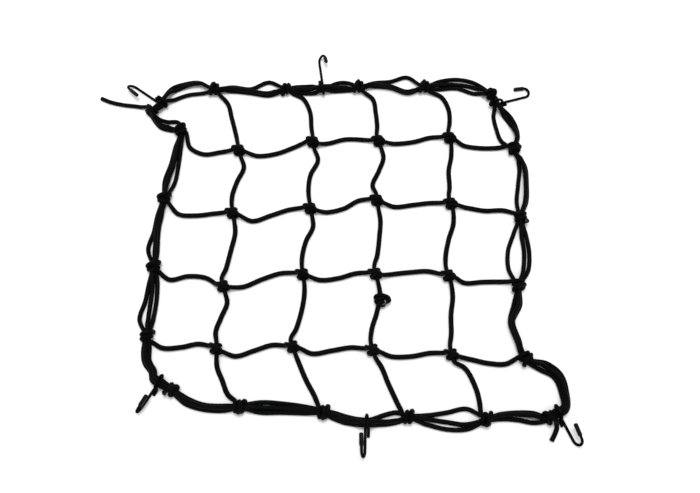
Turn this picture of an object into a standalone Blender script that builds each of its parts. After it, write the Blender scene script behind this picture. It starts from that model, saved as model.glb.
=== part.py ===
"""Elastic cargo net with six wire hooks, lying flat as it is taken from its bag.

Eight elastic cords cross in an open mesh and are tied at every crossing. Their ends are tied to a
rim of three strands side by side. The hooks hang on the rim, each by an eye bent round the strands.

Sizes and places are in millimetres. +X is to the right along the far side, +Y away, +Z up.
"""

import math
from collections import namedtuple

import bmesh
import bpy
from mathutils import Matrix, Vector

MM = 0.001

# Cords. The mesh cord is slack, the rim strand is the same cord drawn a little thinner.
CORD_D = 4.0
STRAND_D = 3.6
GAP = 0.3                     # clearance between pieces that touch
CORD_STEP = 11.5              # length of one straight facet of a cord
STRAND_STEP = 12.5
LAYING_STEP = 1.0               # between the points that a later strand is laid over
SIDES_RESOLUTION = 1                  # gives a cord or wire six sides
FLAT = math.cos(math.radians(30.0))   # centre to flat, as a share of the radius
ORIGIN_SHIFT = Vector((24.7, -7.8))   # from the middle of the mesh to the middle of the whole net

# Heights of a cord's centre above its resting height.
ROW_RISE = 1.6                # row cord inside a crossing knot
COLUMN_RISE = 3.4             # column cord over it
END_RISE = 5.0                # cord end at a rim knot
END_INSET = 3.5               # from the middle of that knot to the cord's end
STRAND_RISE = 0.9             # rim strands inside a rim knot
CORD_REACH = 13.0             # how far from a knot a cord is off the floor
STRAND_REACH = 17.0
HUMP_TOP = 3.6                # this close to a knot or eye the cord is level

# Knots: length along the knot's own axis, width and height.
CROSSING_KNOT = Vector((14.0, 10.5, 8.8))
RIM_KNOT = Vector((12.0, 11.5, 9.4))
JOINING_KNOT = Vector((12.0, 9.0, 8.0))
KNOT_SEGMENTS = 8
WRAP_SLANT = 0.28             # lean of the wraps across the knot

# Hooks
WIRE_D = 1.9
BEND_R = 4.25
BEND_STEPS = 6
SPLAY = math.radians(8.0)     # the short leg opens outwards by this much
RING_TURN = math.radians(286.0)       # how far the eye's ring goes round the strands
RING_STEPS = 10
LEG_START = 8.0               # from the middle of the eye to where the long leg is straight
STUB_OFFSET = 2.4             # the wire's end lies this far beside the long leg
STUB_DROP = ((5.9, 2.1), (7.3, 1.15))  # along and up: the wire's way from the ring to the floor
STUB_REACH = 10.5
SEAT_TURN = math.radians(30.0)        # turns a flat of the wire to the inside of the bend
CAP_D = 3.1
CAP_LENGTH = 9.0
CAP_END = 0.9                 # vinyl beyond the end of the bore
CAP_ROUNDING = (1.1, 0.25)    # the nose starts this far back and ends this far back
CAP_NOSE_D = 1.9
CAP_SIDES = 8

Ring = namedtuple("Ring", "along reach")
Spot = namedtuple("Spot", "x y")
Knot = namedtuple("Knot", "x y turn")
Span = namedtuple("Span", "near middle far")
Station = namedtuple("Station", "name x y facing outer inner third")
Hook = namedtuple("Hook", "name length tip side tilt")

# Outline of a knot from end to end, as shares of its length and width: three wraps, two grooves.
WRAPS = (
    Ring(0.5, 0.0), Ring(0.36, 0.76), Ring(0.19, 0.7), Ring(0.0, 1.0),
    Ring(-0.19, 0.7), Ring(-0.36, 0.76), Ring(-0.5, 0.0),
)

# Crossing knots, a row of the net on each line from the far side, with the turn of the knot's long
# axis in degrees.
CROSSINGS = (
    (Knot(-95, 86, -40), Knot(-32, 94, -60), Knot(24, 95, -40), Knot(85, 98, -55)),
    (Knot(-97, 28, -45), Knot(-33, 32, -45), Knot(22, 39.5, -60), Knot(83, 36.5, -45)),
    (Knot(-101, -35, -35), Knot(-38, -25, -45), Knot(20, -24.5, -40), Knot(78, -26, -50)),
    (Knot(-103, -85, -75), Knot(-44.5, -83.5, -30), Knot(17, -86, -45), Knot(77.5, -89.5, -45)),
)

# How far each span of cord bows to the left of the straight line between its knots, at a quarter,
# a half and three quarters of the way. Rows run to the right, columns run to the near side.
ROW_SPANS = (
    (Span(-11.5, -13.4, -6), Span(-6.5, -6.3, -2), Span(-0.5, 3, 2.5),
     Span(-2.5, -1.5, 2), Span(-4, -3.5, -0.5)),
    (Span(-10.5, -8.5, -3.2), Span(-7.5, -3.3, 1), Span(-4.5, -3, 2.5),
     Span(-4.5, -2, 0.5), Span(0, 0.5, 4)),
    (Span(-6.5, 0.7, 3), Span(-2.5, 1.5, 4), Span(-4.5, -3, 1), Span(0.5, 2.5, 3.5), Span(-3.5, -0.5, 2)),
    (Span(-6.5, -3.5, 1.5), Span(-6, -2, 2), Span(-4.5, -1.5, 1.5),
     Span(-4, -3, 0.5), Span(-2.5, -4.8, -4.3)),
)
COLUMN_SPANS = (
    (Span(6.5, 5, 3), Span(5.5, 0.8, -2), Span(4, 2.5, 0.5), Span(4.5, 1, -2), Span(-4.5, -5, -5)),
    (Span(10, 10, 5), Span(5, -1, -2), Span(4, -0.5, -2), Span(3.5, 3.2, 1), Span(-0.8, -1.5, -1)),
    (Span(9, 7.3, 4), Span(5, 1.3, -3.5), Span(3.5, 3, 1.5), Span(4.5, 2.7, -1), Span(0.3, -1, -1.8)),
    (Span(11, 12, 7), Span(2, -0.5, 0), Span(3.5, 0, -2), Span(3.5, 1.5, 1), Span(4.5, 5, 2)),
)

# Stops along the rim, clockwise from the far left corner: a knot or a hook's eye, the way its outer
# side faces in degrees, and how far each strand bows outwards on the way to the next stop.
NO_BOW = None
RIM = (
    Station("far_left", -172.5, 123.5, 149, NO_BOW, NO_BOW, NO_BOW),
    Station("hook_far_left", -164.5, 131.5, 144, Span(14, 15, 13), Span(2, 3, 1), Span(10, 11.7, 10.3)),
    Station("far_1", -120, 146, 92, Span(3.8, 1.8, 8.5), Span(-0.5, -2.4, -5), Span(0.3, -2.2, -4.8)),
    Station("far_2", -56, 146.5, 90, Span(3.5, 4, 4), Span(-1.5, -3, -3), Span(0, -0.5, 0)),
    Station("hook_far", -23.5, 146.5, 98, Span(4.8, 7, 6), Span(-1.5, -1.5, -1.5), Span(0.5, 0.2, -0.3)),
    Station("far_3", 7, 148.5, 90, Span(5.8, 7.2, 11.5), Span(1.8, 0.6, -4.7), Span(1.8, 0, -5.3)),
    Station("far_4", 65, 148.5, 90, Span(9.3, 12.8, 11.3), Span(1, 3.6, 0.3), Span(4.3, 7.4, 6.2)),
    Station("far_right", 122.5, 141.5, 40, NO_BOW, NO_BOW, NO_BOW),
    Station("hook_far_right", 127, 132.5, 15.5,
            Span(7.5, 10, 8.5), Span(-5.3, -7, -7.2), Span(3.1, 6.3, 6.8)),
    Station("right_1", 140, 87, 5, Span(8.5, 8.6, 7), Span(3.5, 1.4, -1.2), Span(6.5, 7, 5.3)),
    Station("right_2", 140, 24, 0, Span(5.6, 8.5, 8), Span(-4.8, -8.6, -7.9), Span(1.8, 4.3, 4)),
    Station("right_3", 133.5, -35, 0, Span(0.5, -6.8, -3.7), Span(-4.6, -9.4, -6), Span(-1.5, -8, -5)),
    Station("right_4", 134.5, -93, 30, Span(13.5, 17.6, 14.8), Span(5, 11.8, 10), Span(9.5, 14.5, 12.2)),
    Station("hook_near_right", 155.8, -132.8, 294, NO_BOW, NO_BOW, NO_BOW),
    Station("near_right", 148.5, -137, 292,
            Span(3.2, 1, 0), Span(-3.8, -4.4, -3.6), Span(-1.6, -2.8, -2.6)),
    Station("near_4", 101.5, -138, 270, Span(7.5, 8, 5), Span(-7.3, -4.2, -1.8), Span(4.2, 2.8, 1.1)),
    Station("near_3", 43, -136.5, 270, Span(2.5, 3, 2.5), Span(-4.5, -4, -2.4), Span(1.5, 1.5, 0.5)),
    Station("hook_near", 11.5, -140.5, 268.5, Span(3, 3.5, 2.5), Span(-1, -1, -1.5), Span(1, 1.5, 0.5)),
    Station("near_2", -19.5, -133, 268, Span(1.5, 2, 3), Span(-3.5, -4.5, -4.5), Span(-1, -1, -0.5)),
    Station("near_1", -82, -129, 265, Span(6, 8.2, 7.4), Span(2.5, 4.8, 3.2), Span(4.2, 6.4, 5.2)),
    Station("near_left", -134.5, -116.5, 236, NO_BOW, NO_BOW, NO_BOW),
    Station("hook_near_left", -145, -110.2, 239, Span(4.2, 7, 5.6), Span(0.8, 3, 0.8), Span(2.5, 5, 3.2)),
    Station("left_4", -157, -75.5, 185, Span(7.8, 4.8, 3.3), Span(-3, -4, -3.5), Span(1, 0.5, 0)),
    Station("left_3", -157, -18.5, 180, Span(7.6, 5.2, 4.3), Span(0, 1.4, 0.7), Span(1.2, 2.4, 2.2)),
    Station("left_2", -154, 41.5, 175, Span(4, 2.2, 1.8), Span(-4.8, -4.4, -3), Span(0.8, -0.8, -0.6)),
    Station("left_1", -146, 105.5, 200, Span(4.3, 7, 5.4), Span(-5.2, -0.4, 1.6), Span(3, 6, 4.6)),
)

# Hooks, by the eye they hang on: eye to the outside of the bend, bend to tip, the side the short
# leg is on (1 is left, looking outwards) and how far the hook leans up on its long leg.
HOOKS = (
    Hook("hook_far_left", 36.5, 15.0, 1, 42.0),
    Hook("hook_far", 35.0, 9.5, -1, 50.0),
    Hook("hook_far_right", 34.5, 12.0, 1, 5.0),
    Hook("hook_near_right", 28.0, 15.0, 1, 62.0),
    Hook("hook_near", 25.5, 16.5, -1, 72.0),
    Hook("hook_near_left", 27.5, 14.0, -1, 95.0),
)

# Free ends of the rim cord, from the knot outwards.
FAR_LEFT_TAIL = (
    Spot(-172.5, 124), Spot(-185.5, 130), Spot(-200, 132), Spot(-211, 134.8), Spot(-219, 138.3),
)
NEAR_RIGHT_TAIL = (Spot(148.5, -137), Spot(153.5, -144), Spot(151.6, -148.5), Spot(148.6, -153.5))
TAIL_STEP = 6.0

# The column cord that was joined: the knot, and its two cut ends.
JOIN_COLUMN = 3
JOIN = Knot(23.5, -46.5, 80)
JOIN_ENDS = (Spot(32.5, -46), Spot(28, -51.5))
JOIN_RISE = 2.2


def empty_scene():
    for thing in list(bpy.data.objects):
        bpy.data.objects.remove(thing, do_unlink=True)


def new_collection(name, parent):
    collection = bpy.data.collections.new(name)
    parent.children.link(collection)
    return collection


def finish(name, colour, roughness, metallic):
    material = bpy.data.materials.new(name)
    material.use_nodes = True
    shader = material.node_tree.nodes["Principled BSDF"]
    shader.inputs["Base Color"].default_value = (*colour, 1.0)
    shader.inputs["Roughness"].default_value = roughness
    shader.inputs["Metallic"].default_value = metallic
    return material


def as_guide(piece):
    piece.hide_render = True
    piece.display_type = "WIRE"


def in_frame(place):
    """Where a knot, station or spot of the plan lies in the net's own frame."""
    return Vector((place.x, place.y)) + ORIGIN_SHIFT


def tangents(stops, closed):
    """Direction of the smooth curve at each stop, weighted to the shorter side."""
    count = len(stops)
    out = []
    for index, spot in enumerate(stops):
        before = spot - stops[index - 1] if closed or index > 0 else stops[1] - spot
        after = stops[(index + 1) % count] - spot if closed or index < count - 1 else before
        blend = before.normalized() * after.length + after.normalized() * before.length
        out.append(blend / (before.length + after.length))
    return out


def smooth_leg(start, end, leaving, arriving):
    """Points about a millimetre apart on a smooth curve between two stops, the last one left out."""
    length = (end - start).length
    steps = max(2, round(length))
    points = []
    for step in range(steps):
        t = step / steps
        ease = t * t * (3 - 2 * t)
        bulge = leaving * (t * (1 - t) ** 2) - arriving * (t * t * (1 - t))
        points.append(start * (1 - ease) + end * ease + bulge * length)
    return points


def stretches(stops, pinned, closed):
    """The smooth route through the stops, cut into stretches that start and end at pinned stops."""
    ways = tangents(stops, closed)
    legs = len(stops) if closed else len(stops) - 1
    out = []
    for leg in range(legs):
        following = (leg + 1) % len(stops)
        points = smooth_leg(stops[leg], stops[following], ways[leg], ways[following])
        if pinned[leg] or not out:
            out.append(points)
        else:
            out[-1] += points
    for stretch, after in zip(out, out[1:] + out[:1]):
        stretch.append(after[0] if closed or stretch is not out[-1] else stops[-1])
    return out


def walk(stretches_of_route, step):
    """Points about one step apart along each stretch, with every pinned stop kept."""
    out = []
    for stretch in stretches_of_route:
        along = [0.0]
        for first, second in zip(stretch, stretch[1:]):
            along.append(along[-1] + (second - first).length)
        pieces = max(1, round(along[-1] / step))
        index = 0
        for piece in range(pieces):
            target = along[-1] * piece / pieces
            while along[index + 1] < target:
                index += 1
            share = (target - along[index]) / (along[index + 1] - along[index])
            out.append(stretch[index].lerp(stretch[index + 1], share))
    return out


def hump(spot, peaks, reach):
    """Height of a cord over its resting height, full by a knot or eye and gone at the reach."""
    best = 0.0
    for place, rise in peaks:
        share = ((spot - place).length - HUMP_TOP) / (reach - HUMP_TOP)
        share = max(0.0, share)
        if share < 1:
            best = max(best, rise * 0.5 * (1 + math.cos(math.pi * share)))
    return best


def bowed(start, end, span):
    """The three stops of a span, off the straight line between its ends."""
    along = end - start
    left = Vector((-along.y, along.x)).normalized()
    return [start + along * share + left * bow for share, bow in zip((0.25, 0.5, 0.75), span)]


def cord(name, points, diameter, closed, collection):
    """A round cord through points (x, y, z), as a closed mesh that lies on one of its six flats."""
    curve = bpy.data.curves.new(name, "CURVE")
    curve.dimensions = "3D"
    curve.bevel_depth = diameter / 2 * MM
    curve.bevel_resolution = SIDES_RESOLUTION
    curve.twist_mode = "Z_UP"
    curve.use_fill_caps = not closed
    spline = curve.splines.new("POLY")
    spline.points.add(len(points) - 1)
    spline.use_cyclic_u = closed
    for handle, point in zip(spline.points, points):
        handle.co = (*(point * MM), 1.0)
    return solid_from_curve(name, curve, Matrix.Identity(4), collection)


def solid_from_curve(name, curve, placing, collection):
    carrier = bpy.data.objects.new(name + "_route", curve)
    carrier.matrix_world = placing
    collection.objects.link(carrier)
    bpy.context.view_layer.update()
    shaped = carrier.evaluated_get(bpy.context.evaluated_depsgraph_get())
    mesh = bpy.data.meshes.new_from_object(shaped)
    welder = bmesh.new()
    welder.from_mesh(mesh)
    bmesh.ops.remove_doubles(welder, verts=welder.verts, dist=1e-7)
    bmesh.ops.recalc_face_normals(welder, faces=welder.faces)
    welder.to_mesh(mesh)
    welder.free()
    piece = bpy.data.objects.new(name, mesh)
    piece.matrix_world = placing
    collection.objects.link(piece)
    bpy.data.objects.remove(carrier, do_unlink=True)
    return piece


def knot(name, centre, turn, size, foot, collection):
    """A tied knot: three wraps side by side along its axis, pressed flat where it meets the floor."""
    ball = bmesh.new()
    rings = len(WRAPS) - 1
    bmesh.ops.create_uvsphere(ball, u_segments=KNOT_SEGMENTS, v_segments=rings, radius=1.0)
    for vert in ball.verts:
        ring = WRAPS[round(math.acos(max(-1.0, min(1.0, vert.co.z))) / math.pi * rings)]
        around = Vector((vert.co.x, vert.co.y))
        if around.length > 0:
            around.normalize()
        across = around.x * ring.reach / 2
        up = around.y * ring.reach / 2
        vert.co = ((ring.along + WRAP_SLANT * across) * size.x, across * size.y, up * size.z)
        vert.co.z = max(foot, vert.co.z + size.z / 2 - GAP)
    bmesh.ops.rotate(ball, verts=ball.verts, matrix=Matrix.Rotation(math.radians(turn), 3, "Z"))
    bmesh.ops.translate(ball, verts=ball.verts, vec=Vector((centre.x, centre.y, 0)))
    bmesh.ops.scale(ball, verts=ball.verts, vec=Vector((MM, MM, MM)))
    bmesh.ops.recalc_face_normals(ball, faces=ball.faces)
    mesh = bpy.data.meshes.new(name)
    ball.to_mesh(mesh)
    ball.free()
    piece = bpy.data.objects.new(name, mesh)
    collection.objects.link(piece)
    return piece


def fused(name, first, operands, material, collection):
    """One solid from the first piece and all the pieces of a collection."""
    first.name = name
    first.data.name = name
    for holder in list(first.users_collection):
        holder.objects.unlink(first)
    collection.objects.link(first)
    union = first.modifiers.new("fuse", "BOOLEAN")
    union.operation = "UNION"
    union.operand_type = "COLLECTION"
    union.collection = operands
    union.solver = "EXACT"
    first.data.materials.append(material)
    for piece in operands.objects:
        as_guide(piece)
    return first


def outward(station):
    facing = math.radians(station.facing)
    return Vector((math.cos(facing), math.sin(facing)))


def is_eye(station):
    """Stations are knots, or the eyes of the hooks whose names they have."""
    return station.name.startswith("hook")


# ---- Places that the mesh and the rim share ----

STRAND_PITCH = STRAND_D + GAP
STRAND_SIDE = STRAND_PITCH / 2
CROSSING_PITCH = STRAND_D * 0.96
EYE_R = STRAND_PITCH / math.sqrt(3) + STRAND_D / 2 + GAP + WIRE_D / 2
EYE_HEIGHT = EYE_R + WIRE_D / 2
EYE_RISE = EYE_HEIGHT - STRAND_PITCH / (2 * math.sqrt(3)) - STRAND_D / 2 * FLAT
STRAIGHT_THROUGH_EYE = 3.5
RIM_NAMES = {station.name: station for station in RIM}

# Strand, side of the knots and eyes that it runs on, its pitch to the strands below it, and how far
# it sinks in the knots and eyes: the inner one crosses over the outer one, and the third lies in the
# groove of both.
LAYING = (
    ("outer", STRAND_SIDE, CROSSING_PITCH, 0.0),
    ("inner", -STRAND_SIDE, CROSSING_PITCH, 0.3),
    ("third", 0.0, STRAND_PITCH, 0.0),
)


# ---- Mesh ----

def tied_end(station):
    """Where a mesh cord ends, in the inner half of a rim knot."""
    return in_frame(station) - outward(station) * END_INSET


def mesh_cord_points(start, knots, end, spans, rise, extra):
    ends = [tied_end(RIM_NAMES[start]), tied_end(RIM_NAMES[end])]
    places = [ends[0]] + [in_frame(place) for place in knots] + [ends[1]]
    stops = [places[0]]
    pinned = [True]
    for first, second, span in zip(places, places[1:], spans):
        stops += bowed(first, second, span) + [second]
        pinned += [False, False, False, True]
    peaks = [(place, rise) for place in places[1:-1]] + [(place, END_RISE) for place in ends] + extra
    plan = walk(stretches(stops, pinned, False), CORD_STEP) + [places[-1]]
    rest = CORD_D / 2 * FLAT
    return [Vector((spot.x, spot.y, rest + hump(spot, peaks, CORD_REACH))) for spot in plan]


def make_mesh(material, parts, cutters):
    operands = new_collection("mesh_pieces", cutters)
    join = in_frame(JOIN)
    pieces = []
    for row, (knots, spans) in enumerate(zip(CROSSINGS, ROW_SPANS), 1):
        points = mesh_cord_points(f"left_{row}", knots, f"right_{row}", spans, ROW_RISE, [])
        pieces.append(cord(f"row_{row}", points, CORD_D, False, operands))
    for column, spans in enumerate(COLUMN_SPANS, 1):
        knots = [row[column - 1] for row in CROSSINGS]
        extra = [(join, JOIN_RISE)] if column == JOIN_COLUMN else []
        points = mesh_cord_points(f"far_{column}", knots, f"near_{column}", spans, COLUMN_RISE, extra)
        pieces.append(cord(f"column_{column}", points, CORD_D, False, operands))
    for row, knots in enumerate(CROSSINGS, 1):
        for column, place in enumerate(knots, 1):
            knot(f"crossing_{row}_{column}", in_frame(place), place.turn, CROSSING_KNOT, 0.0, operands)
    knot("joining_knot", join, JOIN.turn, JOINING_KNOT, 0.0, operands)
    height = CORD_D / 2 * FLAT + JOIN_RISE
    for number, end in enumerate(JOIN_ENDS, 1):
        route = [Vector((*join, height)), Vector((*in_frame(end), height))]
        cord(f"cut_end_{number}", route, CORD_D, False, operands)
    net = fused("net_mesh", pieces[0], operands, material, parts)
    clearance = new_collection("rim_knot_clearance", cutters)
    for station in RIM:
        if not is_eye(station):
            rim_knot("clear_of_" + station.name, station, GAP, -1.0, clearance)
    for piece in clearance.objects:
        as_guide(piece)
    trim = net.modifiers.new("ends_at_rim_knots", "BOOLEAN")
    trim.operation = "DIFFERENCE"
    trim.operand_type = "COLLECTION"
    trim.collection = clearance
    trim.solver = "EXACT"
    return net


# ---- Rim ----

def rim_knot(name, station, margin, foot, collection):
    size = RIM_KNOT + Vector((2 * margin, 2 * margin, 2 * margin))
    return knot(name, in_frame(station), station.facing - 90, size, foot, collection)


def strand_stretches(side, field):
    """Closed route of one strand, at its own side of the knots and eyes."""
    stops = []
    pinned = []
    for station, following in zip(RIM, RIM[1:] + RIM[:1]):
        here, there = in_frame(station), in_frame(following)
        place = here + outward(station) * side
        if is_eye(station):
            along = Vector((outward(station).y, -outward(station).x)) * STRAIGHT_THROUGH_EYE
            stops += [place - along, place + along]
            pinned += [True, True]
        else:
            stops.append(place)
            pinned.append(True)
        span = getattr(station, field)
        if span is not None:
            stops += bowed(here, there, span)
            pinned += [False, False, False]
    return stretches(stops, pinned, True)


def on_top(spot, others, pitch):
    """Lowest height at which a strand keeps its pitch to the strands beside and below it."""
    best = STRAND_D / 2 * FLAT
    for other in others:
        for point in other:
            apart = math.hypot(spot.x - point.x, spot.y - point.y)
            if apart < pitch:
                best = max(best, point.z + math.sqrt(pitch ** 2 - apart ** 2))
    return best


def lifted(spots, peaks, laid, pitch):
    """A strand's points: over its knots and eyes, and over each strand laid before it."""
    rest = STRAND_D / 2 * FLAT
    heights = [max(rest + hump(spot, peaks, STRAND_REACH), on_top(spot, laid, pitch)) for spot in spots]
    return [Vector((*spot, height)) for spot, height in zip(spots, heights)]


def rim_peaks(sink):
    return [(in_frame(place), (EYE_RISE if is_eye(place) else STRAND_RISE) - sink) for place in RIM]


def laid_strands():
    """Points of the three strands, in the order in which they are laid."""
    strands = {}
    laid = []
    for field, side, pitch, sink in LAYING:
        peaks = rim_peaks(sink)
        route = strand_stretches(side, field)
        strands[field] = lifted(walk(route, STRAND_STEP), peaks, laid, pitch)
        laid.append(lifted(walk(route, LAYING_STEP), peaks, laid, pitch))
    return strands


def tail_points(tail):
    stops = [in_frame(spot) for spot in tail]
    plan = walk(stretches(stops, [True] + [False] * (len(stops) - 1), False), TAIL_STEP) + [stops[-1]]
    return lifted(plan, rim_peaks(0.0), [], CROSSING_PITCH)


def make_rim(material, parts, cutters):
    operands = new_collection("rim_pieces", cutters)
    strands = laid_strands()
    pieces = [cord(f"strand_{name}", strands[name], STRAND_D, True, operands) for name in strands]
    for station in RIM:
        if not is_eye(station):
            rim_knot("rim_knot_" + station.name, station, 0.0, 0.0, operands)
    for name, tail in (("far_left_tail", FAR_LEFT_TAIL), ("near_right_tail", NEAR_RIGHT_TAIL)):
        cord(name, tail_points(tail), STRAND_D, False, operands)
    return fused("net_rim", pieces[0], operands, material, parts)


# ---- Hooks ----

def hook_drawing(hook):
    """The hook drawn flat, along and aside: tip, bend, and the start of the long leg."""
    bend_x = hook.length - WIRE_D / 2 - BEND_R
    opening = math.pi - SPLAY
    bend = []
    for step in range(BEND_STEPS + 1):
        angle = opening * (1 - step / BEND_STEPS)
        bend.append(Vector((bend_x + BEND_R * math.sin(angle), BEND_R - BEND_R * math.cos(angle))))
    back = Vector((math.cos(opening), math.sin(opening)))
    short_leg = (bend[0].x - (hook.length - hook.tip)) / -back.x
    return [bend[0] + back * short_leg] + bend + [Vector((LEG_START, 0))]


def hook_route(hook):
    """Centre line of the wire in the hook's own frame, +X outwards, from the tip to the stub."""
    tilt = math.radians(hook.tilt)
    low = WIRE_D / 2
    route = [
        Vector((point.x, hook.side * point.y * math.cos(tilt), low + point.y * math.sin(tilt)))
        for point in hook_drawing(hook)
    ]
    part_turn = RING_TURN / RING_STEPS
    ring_r = EYE_R / math.cos(part_turn / 2)
    aside = -hook.side * STUB_OFFSET
    for step in range(RING_STEPS + 1):
        angle = part_turn * (step + 0.5) - part_turn
        drift = aside * max(0, step - 1) / (RING_STEPS - 1)
        route.append(Vector((-ring_r * math.sin(angle), drift, EYE_HEIGHT - ring_r * math.cos(angle))))
    for along, height in STUB_DROP:
        route.append(Vector((along, aside, height)))
    return route + [Vector((STUB_REACH, aside, low))]


def hook_placing(hook):
    station = RIM_NAMES[hook.name]
    spot = in_frame(station)
    place = Matrix.Translation(Vector((spot.x, spot.y, 0)) * MM)
    return place @ Matrix.Rotation(math.radians(station.facing), 4, "Z")


def make_wire(hook, steel, parts):
    curve = bpy.data.curves.new(hook.name + "_wire", "CURVE")
    curve.dimensions = "3D"
    curve.bevel_depth = WIRE_D / 2 * MM
    curve.bevel_resolution = SIDES_RESOLUTION
    curve.use_fill_caps = True
    route = hook_route(hook)
    spline = curve.splines.new("POLY")
    spline.points.add(len(route) - 1)
    for handle, point in zip(spline.points, route):
        handle.co = (*(point * MM), 1.0)
        handle.tilt = SEAT_TURN + hook.side * math.radians(hook.tilt)
    wire = solid_from_curve(hook.name + "_wire", curve, hook_placing(hook), parts)
    wire.data.materials.append(steel)
    return wire


def make_cap(hook, vinyl, parts):
    """Moulded tip: a turned sleeve with a blind bore over the end of the wire."""
    tip, leg_end = hook_route(hook)[:2]
    bore_r = WIRE_D / 2 + GAP
    end = GAP + CAP_END
    mouth = -min(CAP_LENGTH - end, (tip - leg_end).length - GAP)
    shoulder, nose = CAP_ROUNDING
    profile = (
        (0.0, GAP), (bore_r, GAP), (bore_r, mouth),
        (CAP_D / 2, mouth), (CAP_D / 2, end - shoulder), (CAP_NOSE_D / 2, end - nose), (0.0, end),
    )
    mesh = bpy.data.meshes.new(hook.name + "_cap")
    drawing = bmesh.new()
    verts = [drawing.verts.new((radius * MM, 0.0, height * MM)) for radius, height in profile]
    for first, second in zip(verts, verts[1:]):
        drawing.edges.new((first, second))
    drawing.to_mesh(mesh)
    drawing.free()
    cap = bpy.data.objects.new(hook.name + "_cap", mesh)
    turned = cap.modifiers.new("turned", "SCREW")
    turned.steps = CAP_SIDES
    turned.render_steps = CAP_SIDES
    turned.use_merge_vertices = True
    turned.merge_threshold = 0.00001
    turned.use_normal_calculate = True
    outwards = (tip - leg_end).normalized()
    seat = Matrix.Translation(tip * MM) @ outwards.to_track_quat("Z", "Y").to_matrix().to_4x4()
    cap.matrix_world = hook_placing(hook) @ seat
    mesh.materials.append(vinyl)
    parts.objects.link(cap)
    return cap


def build():
    empty_scene()
    parts = new_collection("cargo_net", bpy.context.scene.collection)
    cutters = new_collection("cargo_net_cutters", bpy.context.scene.collection)
    elastic = finish("elastic_cord_black", (0.02, 0.02, 0.022), 0.75, 0.0)
    rim_elastic = finish("rim_cord_black", (0.022, 0.022, 0.024), 0.75, 0.0)
    steel = finish("hook_wire_dark", (0.12, 0.12, 0.13), 0.35, 0.9)
    vinyl = finish("hook_tip_black", (0.02, 0.02, 0.02), 0.45, 0.0)
    make_rim(rim_elastic, parts, cutters)
    make_mesh(elastic, parts, cutters)
    for hook in HOOKS:
        make_wire(hook, steel, parts)
        make_cap(hook, vinyl, parts)


build()
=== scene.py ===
"""Looks of the elastic cargo net: sheathed cords, tied knots, wire hooks, on a pale studio floor.

The file follows the net as it is put together: the mesh cords with the knots tied in them, the join
in one of them, the strands of the rim, its corner knots and free ends, then the hooks and their
tips. Sizes are in millimetres and turned into metres where a piece is made.
"""

import math
from collections import namedtuple

import bpy
from mathutils import Matrix, Vector
from mathutils.kdtree import KDTree


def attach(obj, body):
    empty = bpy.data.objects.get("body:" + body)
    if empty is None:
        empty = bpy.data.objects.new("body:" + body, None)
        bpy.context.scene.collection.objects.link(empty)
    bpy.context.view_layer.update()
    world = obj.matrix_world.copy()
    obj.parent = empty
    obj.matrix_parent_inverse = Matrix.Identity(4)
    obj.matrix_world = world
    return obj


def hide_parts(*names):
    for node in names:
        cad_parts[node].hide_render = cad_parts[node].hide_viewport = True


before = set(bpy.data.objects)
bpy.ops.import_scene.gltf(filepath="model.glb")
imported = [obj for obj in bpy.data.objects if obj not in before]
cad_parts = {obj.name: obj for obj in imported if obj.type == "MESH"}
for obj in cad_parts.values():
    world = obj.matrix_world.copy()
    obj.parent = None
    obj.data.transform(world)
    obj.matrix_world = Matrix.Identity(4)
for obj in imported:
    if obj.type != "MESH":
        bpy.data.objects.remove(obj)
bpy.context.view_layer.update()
bpy.ops.object.select_all(action="DESELECT")


# ---- Mesh cords ----
# Four elastic cords across and four down, each a rubber core in a braided black sheath. Every cord
# across is wound twice round each cord down, pulled tight, and both its ends are tied to the rim.

MM = 0.001
NET_SHIFT = Vector((24.7, -7.8))      # from the middle of the mesh to the frame's origin
CORD_D = 4.0
CORD_STEP = 0.9                       # length of one facet along a finished cord
CORD_SIDES = 5                        # bevel resolution: fourteen sides
TIED = 0.86                           # share of its thickness that a cord keeps inside a knot
CUT_END = 1.06                        # and at a melted cut end
TURN_STOPS = 16                       # stops in one turn of a knot

CROSSING_REACH = 3.3                  # from a crossing knot's axis to the cord wound round it
CROSSING_RISE = 2.9
CROSSING_PITCH = 3.5
CORE_HALF = 5.0                       # half the length that the cord inside a knot runs straight
CORE_ASIDE = Vector((0.5, 0.0))       # the cord down lies a little to the right in its knots

RIM_REACH = 3.7                       # from the middle of the strands to the cord tied round them
RIM_RISE = 3.1
RIM_PITCH = 3.4
RIM_HEIGHT = 4.9
STUB = 2.6                            # cord left beyond a knot

Knot = namedtuple("Knot", "x y turn")
Span = namedtuple("Span", "near middle far")
Station = namedtuple("Station", "name x y facing turns outer inner third")
Turn = namedtuple("Turn", "turned drift lift")

# The hitch that ties the cords: turns made from the top, place along in pitches, and how far the cord
# stands out over the turns beneath it, in thicknesses. Its second turn crosses over the first.
HITCH = (
    Turn(-0.25, -0.55, 0.0), Turn(0.0, -0.5, 0.0), Turn(0.25, -0.6, 0.0), Turn(0.5, -0.8, 0.0),
    Turn(0.75, -0.95, 0.15), Turn(0.875, -0.6, 0.55), Turn(1.0, 0.0, 0.7), Turn(1.125, 0.6, 0.55),
    Turn(1.25, 0.95, 0.15), Turn(1.5, 0.8, 0.0), Turn(1.75, 0.6, 0.0), Turn(2.0, 0.5, 0.0),
    Turn(2.25, 0.7, 0.1),
)

# The hitch at the rim: two plain turns from the end that the cord comes from, then back over them.
RIM_HITCH = (
    Turn(-0.25, -1.15, 0.0), Turn(0.0, -1.0, 0.0), Turn(0.25, -0.9, 0.0), Turn(0.5, -0.65, 0.0),
    Turn(0.75, -0.3, 0.0), Turn(1.0, 0.05, 0.0), Turn(1.25, 0.35, 0.0), Turn(1.5, 0.7, 0.0),
    Turn(1.75, 1.0, 0.1), Turn(1.875, 0.75, 0.4), Turn(2.0, 0.25, 0.6), Turn(2.125, -0.1, 0.45),
    Turn(2.25, -0.2, 0.2), Turn(2.375, -0.2, 0.0),
)

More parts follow.
